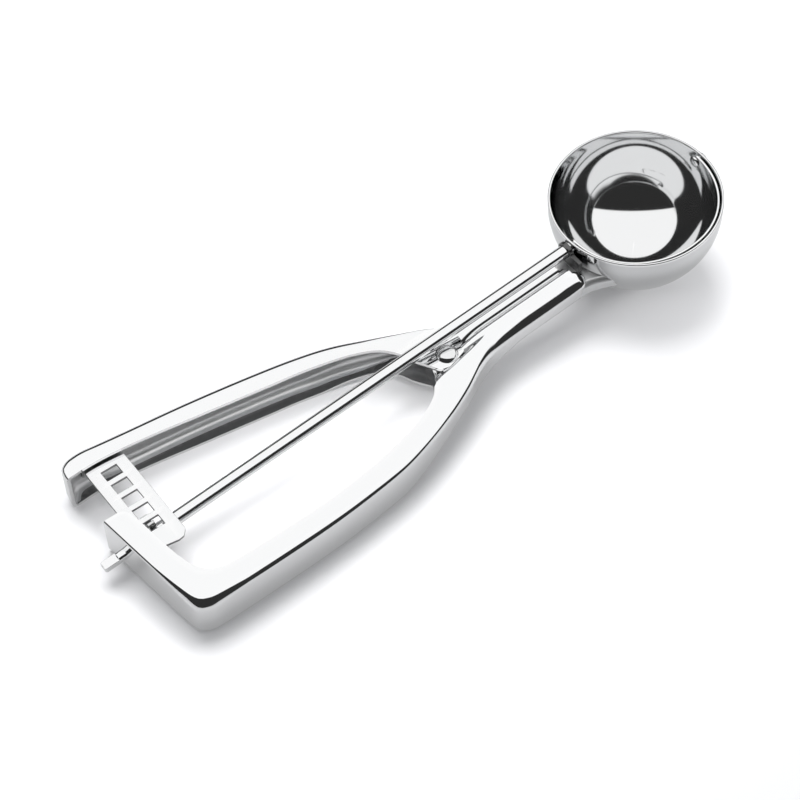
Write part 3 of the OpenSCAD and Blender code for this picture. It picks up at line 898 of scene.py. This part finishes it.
def polish_marks():
    """Polishing lines, faint smears and soft dents of buffed sheet: a roughness and a normal."""
    group = bpy.data.node_groups.new("polish_marks", "ShaderNodeTree")
    face = group.interface
    for name, low, high, start in (("Roughness", 0, 1, 0.06), ("Spread", 0, 1, 0.04),
                                   ("Scale", 1, 20000, 900), ("Marks", 0, 1, 0.1),
                                   ("Waves", 0, 1, 0.05)):
        socket = face.new_socket(name, in_out="INPUT", socket_type="NodeSocketFloat")
        socket.min_value, socket.max_value, socket.default_value = low, high, start
    stretch = face.new_socket("Stretch", in_out="INPUT", socket_type="NodeSocketVector")
    stretch.default_value = (1, 1, 1)
    face.new_socket("Roughness", in_out="OUTPUT", socket_type="NodeSocketFloat")
    face.new_socket("Normal", in_out="OUTPUT", socket_type="NodeSocketVector")

    given = add_node(group, "NodeGroupInput").outputs
    where = add_node(group, "ShaderNodeTexCoord").outputs["Object"]
    stretched = add_node(group, "ShaderNodeVectorMath", [(0, where), (1, given["Stretch"])],
                         operation="MULTIPLY").outputs[0]
    lines = noise(group, stretched, given["Scale"], ("Detail", 4), ("Roughness", 0.6))
    smears = noise(group, where, 45, ("Detail", 3))
    waves = noise(group, where, 120, ("Detail", 1))
    both = maths(group, "MULTIPLY", lines, smears)
    spread = maths(group, "MULTIPLY_ADD", both, given["Spread"], given["Roughness"])
    soft = add_node(group, "ShaderNodeBump", [
        ("Distance", 0.00008), ("Strength", given["Waves"]), ("Height", waves)]).outputs["Normal"]
    fine = add_node(group, "ShaderNodeBump", [
        ("Distance", 0.00001), ("Strength", given["Marks"]), ("Height", lines),
        ("Normal", soft)]).outputs["Normal"]
    add_node(group, "NodeGroupOutput", [("Roughness", spread), ("Normal", fine)])
    return group


def edge_and_hollow_tone():
    """Colour by shape: lighter along sharp edges, darker in hollow corners in noisy spots."""
    group = bpy.data.node_groups.new("edge_and_hollow_tone", "ShaderNodeTree")
    face = group.interface
    for name, start in (("Clean", (0.8, 0.81, 0.82, 1)), ("Rubbed", (0.88, 0.88, 0.88, 1)),
                        ("Hollows", (0.45, 0.44, 0.42, 1))):
        colour = face.new_socket(name, in_out="INPUT", socket_type="NodeSocketColor")
        colour.default_value = start
    amount = face.new_socket("Amount", in_out="INPUT", socket_type="NodeSocketFloat")
    amount.default_value = 0.5
    face.new_socket("Color", in_out="OUTPUT", socket_type="NodeSocketColor")

    given = add_node(group, "NodeGroupInput").outputs
    bent = add_node(group, "ShaderNodeNewGeometry").outputs["Pointiness"]
    edge, corner = (ranged(group, bent, ("From Min", 0.5), ("From Max", end))
                    for end in (0.62, 0.4))
    where = add_node(group, "ShaderNodeTexCoord").outputs["Object"]
    at_edges = maths(group, "MULTIPLY", edge, given["Amount"])
    hollow_share = maths(group, "MULTIPLY", corner, noise(group, where, 160, ("Detail", 4)))
    with_edges = mixed(group, at_edges, given["Clean"], given["Rubbed"])
    add_node(group, "NodeGroupOutput", [("Color", mixed(group, hollow_share, with_edges, given["Hollows"]))])
    return group


POLISH = polish_marks()
EDGE_AND_HOLLOW = edge_and_hollow_tone()


def metal(name, clean, at_edges, in_hollows, roughness, spread, scale, stretch, marks, waves, amount=0.5):
    """A metal with its own values in the two shared groups."""
    material = bpy.data.materials.new(name)
    material.use_nodes = True
    tree = material.node_tree
    polish = add_node(tree, "ShaderNodeGroup", node_tree=POLISH)
    for key, value in (("Roughness", roughness), ("Spread", spread), ("Scale", scale),
                       ("Marks", marks), ("Waves", waves), ("Stretch", stretch)):
        polish.inputs[key].default_value = value
    wear = add_node(tree, "ShaderNodeGroup", node_tree=EDGE_AND_HOLLOW)
    for key, value in (("Clean", (*clean, 1)), ("Rubbed", (*at_edges, 1)), ("Hollows", (*in_hollows, 1)),
                       ("Amount", amount)):
        wear.inputs[key].default_value = value
    shader = tree.nodes["Principled BSDF"]
    shader.inputs["Metallic"].default_value = 1.0
    tree.links.new(polish.outputs["Roughness"], shader.inputs["Roughness"])
    tree.links.new(polish.outputs["Normal"], shader.inputs["Normal"])
    tree.links.new(wear.outputs["Color"], shader.inputs["Base Color"])
    return material


# ---- floor, light and backdrop ----

CAMERA_SIDE = Vector((-0.6213, -0.7836, 0))
# the tent that the metal mirrors: its brightness, the dark beyond its edges, and for each side
# the elevation of its edge in degrees with the edge's softness
TENT_LEVEL, TENT_DARK = 1.1, 0.03
FRONT_EDGE, BACK_EDGE, SIDE_EDGE = (58, 0.015), (34, 0.05), (22, 0.1)
# what the floor glows with for the eye and for the metal, and the share of its colour in metal
FLOOR_GLOW, METAL_GLOW = 0.1, 0.24
FLOOR_IN_METAL = 0.48


def backdrop():
    """White to the eye. Metal sees a soft white tent, open and dark low down at its sides."""
    world = bpy.data.worlds.new("studio")
    bpy.context.scene.world = world
    world.use_nodes = True
    tree = world.node_tree
    tree.nodes.clear()
    way = add_node(tree, "ShaderNodeTexCoord").outputs["Generated"]

    def roof_edge(side, elevation, softness):
        """0 under the roof, 1 beyond its edge on that side, which stands at that elevation."""
        e = math.radians(elevation)
        across = side * math.sin(e) - Vector((0, 0, math.cos(e)))
        dot = add_node(tree, "ShaderNodeVectorMath", [(0, way), (1, tuple(across))],
                       operation="DOT_PRODUCT").outputs["Value"]
        return ranged(tree, dot, ("From Min", -softness), ("From Max", softness),
                      interpolation_type="SMOOTHSTEP")

    def glow(colour, strength):
        return add_node(tree, "ShaderNodeBackground", [
            ("Color", (*colour, 1)), ("Strength", strength)]).outputs[0]

    def seen_by(rays, others, theirs):
        given = [(0, rays), (1, others), (2, theirs)]
        return add_node(tree, "ShaderNodeMixShader", given).outputs[0]

    beside = Vector((-CAMERA_SIDE.y, CAMERA_SIDE.x, 0))
    dark = roof_edge(CAMERA_SIDE, *FRONT_EDGE)
    for side, edge in ((-CAMERA_SIDE, BACK_EDGE), (beside, SIDE_EDGE), (-beside, SIDE_EDGE)):
        dark = maths(tree, "MAXIMUM", dark, roof_edge(side, *edge))
    level = ranged(tree, dark, ("To Min", TENT_LEVEL), ("To Max", TENT_DARK))
    path = add_node(tree, "ShaderNodeLightPath").outputs
    lit = seen_by(path["Is Glossy Ray"], glow((0.95, 0.97, 1.0), 0.42), glow((1, 1, 1), level))
    whole = seen_by(path["Is Camera Ray"], lit, glow((1, 1, 1), 1.0))
    add_node(tree, "ShaderNodeOutputWorld", [("Surface", whole)])


def table_top():
    """A plain white floor that keeps the shadow and is white where nothing shades it."""
    bm = bmesh.new()
    bmesh.ops.create_grid(bm, x_segments=1, y_segments=1, size=4)
    mesh = bpy.data.meshes.new("floor")
    bm.to_mesh(mesh)
    bm.free()
    floor = bpy.data.objects.new("floor", mesh)
    bpy.context.scene.collection.objects.link(floor)
    material = bpy.data.materials.new("white_floor")
    material.use_nodes = True
    tree = material.node_tree
    path = add_node(tree, "ShaderNodeLightPath").outputs
    # far from the part the floor turns into plain white, so that no horizon shows
    where = add_node(tree, "ShaderNodeTexCoord").outputs["Object"]
    reach = add_node(tree, "ShaderNodeVectorMath", [(0, where)], operation="LENGTH")
    away = ranged(tree, reach.outputs["Value"], ("From Min", 0.45), ("From Max", 1.3),
                  interpolation_type="SMOOTHSTEP")
    paint = mixed(tree, away, (0.62, 0.62, 0.63, 1), (0, 0, 0, 1))
    # the metal sees a duller floor, so that its undersides stay grey against the white
    duller = mixed(tree, path["Is Glossy Ray"], paint, (*[FLOOR_IN_METAL] * 3, 1), "MULTIPLY")
    for_metal = ranged(tree, away, ("To Min", METAL_GLOW), ("To Max", 0.6))
    for_eye = ranged(tree, away, ("To Min", FLOOR_GLOW), ("To Max", 1.0))
    to_metal = maths(tree, "MULTIPLY", path["Is Glossy Ray"], for_metal)
    glow = maths(tree, "MULTIPLY_ADD", path["Is Camera Ray"], for_eye, to_metal)
    shader = tree.nodes["Principled BSDF"]
    shader.inputs["Roughness"].default_value = 0.9
    shader.inputs["Specular IOR Level"].default_value = 0.1
    shader.inputs["Emission Color"].default_value = (1, 1, 1, 1)
    tree.links.new(duller, shader.inputs["Base Color"])
    tree.links.new(glow, shader.inputs["Emission Strength"])
    mesh.materials.append(material)


def soft_lamp(name, place, aim, width, power):
    """A square lamp that lights the floor and isn't seen in the metal."""
    data = bpy.data.lights.new(name, "AREA")
    data.shape = "RECTANGLE"
    data.size = data.size_y = width
    data.energy = power
    lamp = bpy.data.objects.new(name, data)
    bpy.context.scene.collection.objects.link(lamp)
    lamp.location = place
    lamp.rotation_euler = (Vector(aim) - Vector(place)).to_track_quat("-Z", "Y").to_euler()
    lamp.visible_glossy = False
    lamp.visible_camera = False


def place_camera():
    """The photograph's camera, found from the rim's ellipse and the handle's long lines."""
    place = Vector((-0.110221, -0.265806, 0.448999))
    ahead = Vector((0.37440434, 0.47217589, -0.79804218)).normalized()
    roll = math.radians(0.753)
    side = ahead.cross(Vector((0, 0, 1))).normalized()
    top = side.cross(ahead)
    right = side * math.cos(roll) + top * math.sin(roll)
    up = top * math.cos(roll) - side * math.sin(roll)
    data = bpy.data.cameras.new("camera")
    data.sensor_width = 36.0
    data.lens = 1796.48 * 36.0 / 800.0  # 1796.48 pixels in a picture 800 wide
    data.clip_start = 0.01
    data.clip_end = 20.0
    camera = bpy.data.objects.new("camera", data)
    bpy.context.scene.collection.objects.link(camera)
    camera.matrix_world = Matrix((
        (right.x, up.x, -ahead.x, place.x),
        (right.y, up.y, -ahead.y, place.y),
        (right.z, up.z, -ahead.z, place.z),
        (0, 0, 0, 1)))
    bpy.context.scene.camera = camera


# ---- the scene ----

# each finish: its colour clean, along sharp edges and in hollow corners, its roughness and how
# much that spreads, the fineness and stretch of its lines, the depth of lines and waves, and how
# much the edges lighten if not half
FINISHES = {
    "polished_sheet": ((0.86, 0.865, 0.87), (0.92, 0.92, 0.92), (0.5, 0.49, 0.47),
                       0.045, 0.10, 700, (1, 1, 1), 0.03, 0.02),
    "polished_bowl_steel": ((0.815, 0.82, 0.825), (0.9, 0.9, 0.9), (0.5, 0.49, 0.47),
                            0.04, 0.09, 600, (1, 1, 1), 0.02, 0.02),
    # the bowl's steel again, made darker for its outer face: painted shade
    "bowl_outside_painted_shade": ((0.66, 0.665, 0.67), (0.8, 0.8, 0.8), (0.5, 0.49, 0.47),
                              0.06, 0.09, 600, (1, 1, 1), 0.02, 0.02),
    "polished_rod": ((0.84, 0.845, 0.85), (0.9, 0.9, 0.9), (0.45, 0.44, 0.43),
                     0.05, 0.10, 1500, (1, 6, 6), 0.03, 0.01),
    "bright_plate": ((0.85, 0.855, 0.86), (0.92, 0.92, 0.92), (0.45, 0.44, 0.43),
                     0.09, 0.14, 1300, (5, 1, 1), 0.05, 0.03),
    "turned_rivet": ((0.78, 0.785, 0.79), (0.88, 0.88, 0.88), (0.35, 0.34, 0.33),
                     0.10, 0.12, 1600, (1, 1, 4), 0.06, 0.02),
    "cut_steel": ((0.62, 0.625, 0.63), (0.8, 0.8, 0.8), (0.25, 0.24, 0.23),
                  0.16, 0.2, 1800, (1, 4, 4), 0.12, 0.05, 0.7),
    # near black, for the rack's cut edges and window walls: painted shade
    "rack_edge_painted_shade": ((0.2, 0.2, 0.2), (0.4, 0.4, 0.4), (0.1, 0.1, 0.1),
                     0.3, 0.2, 1500, (1, 1, 4), 0.2, 0.05),
    "spring_wire": ((0.55, 0.555, 0.56), (0.75, 0.75, 0.75), (0.2, 0.19, 0.18),
                    0.18, 0.2, 1500, (1, 1, 6), 0.12, 0.04, 0.7),
    "satin_inside": ((0.8, 0.805, 0.81), (0.84, 0.84, 0.84), (0.6, 0.59, 0.58),
                     0.3, 0.1, 1100, (1, 1, 5), 0.08, 0.015),
    # near black, for the lug: painted shade
    "lug_painted_shade": ((0.1, 0.1, 0.1), (0.3, 0.3, 0.3), (0.05, 0.05, 0.05),
                     0.22, 0.2, 1500, (1, 4, 4), 0.2, 0.04),
    # near black, for the floor inside the lever's channel: painted shade
    "channel_floor_painted_shade": ((0.2, 0.2, 0.2), (0.4, 0.4, 0.4), (0.1, 0.1, 0.09),
                           0.30, 0.25, 1100, (1, 1, 5), 0.25, 0.05),
    "soft_neck_end": ((0.74, 0.745, 0.75), (0.8, 0.8, 0.8), (0.5, 0.49, 0.48),
                      0.40, 0.12, 900, (1, 1, 1), 0.08, 0.02),
}


def build():
    """Every piece of the scoop, in its finish."""
    steel = {name: metal(name, *values) for name, values in FINISHES.items()}
    sheet, satin, floor_shade = (steel[name] for name in
                          ("polished_sheet", "satin_inside", "channel_floor_painted_shade"))
    rivet, cut, bright = (steel[name] for name in ("turned_rivet", "cut_steel", "bright_plate"))

    fixed_handle(sheet, (satin, steel["soft_neck_end"]))
    bearing_lug(steel["lug_painted_shade"])
    bowl(steel["polished_bowl_steel"], steel["bowl_outside_painted_shade"])
    lever_handle(sheet, (satin, sheet, floor_shade))
    rack_plate(bright, steel["rack_edge_painted_shade"])
    rack_rivet(7.8, "rack_rivet_front", rivet)
    rack_rivet(13, "rack_rivet_rear", rivet)
    spindle_rod(steel["polished_rod"])
    pinion(cut)
    pinion_pin(cut)
    scraper_blade(bright)
    far_pin(rivet)
    pivot_rivet(rivet)
    rivet_washer(rivet)
    pivot_sleeve(cut)
    torsion_spring(steel["spring_wire"])

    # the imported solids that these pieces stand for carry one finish
    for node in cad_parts.values():
        node.data.materials.clear()
        node.data.materials.append(sheet)


build()
table_top()
backdrop()
soft_lamp("key", (0.25, 0.55, 1.1), (0.1, 0, 0), 0.8, 20)
soft_lamp("fill", (-0.5, 0.2, 0.9), (0.1, 0, 0), 0.8, 1.5)
soft_lamp("over_the_handles", (0.06, 0, 0.1), (0.06, 0, 0), 0.06, 0.085)
soft_lamp("beside_the_bowl", (0.27, -0.09, 0.06), (0.215, -0.03, 0), 0.05, 0.105)
place_camera()
bpy.context.scene.view_settings.view_transform = "Standard"
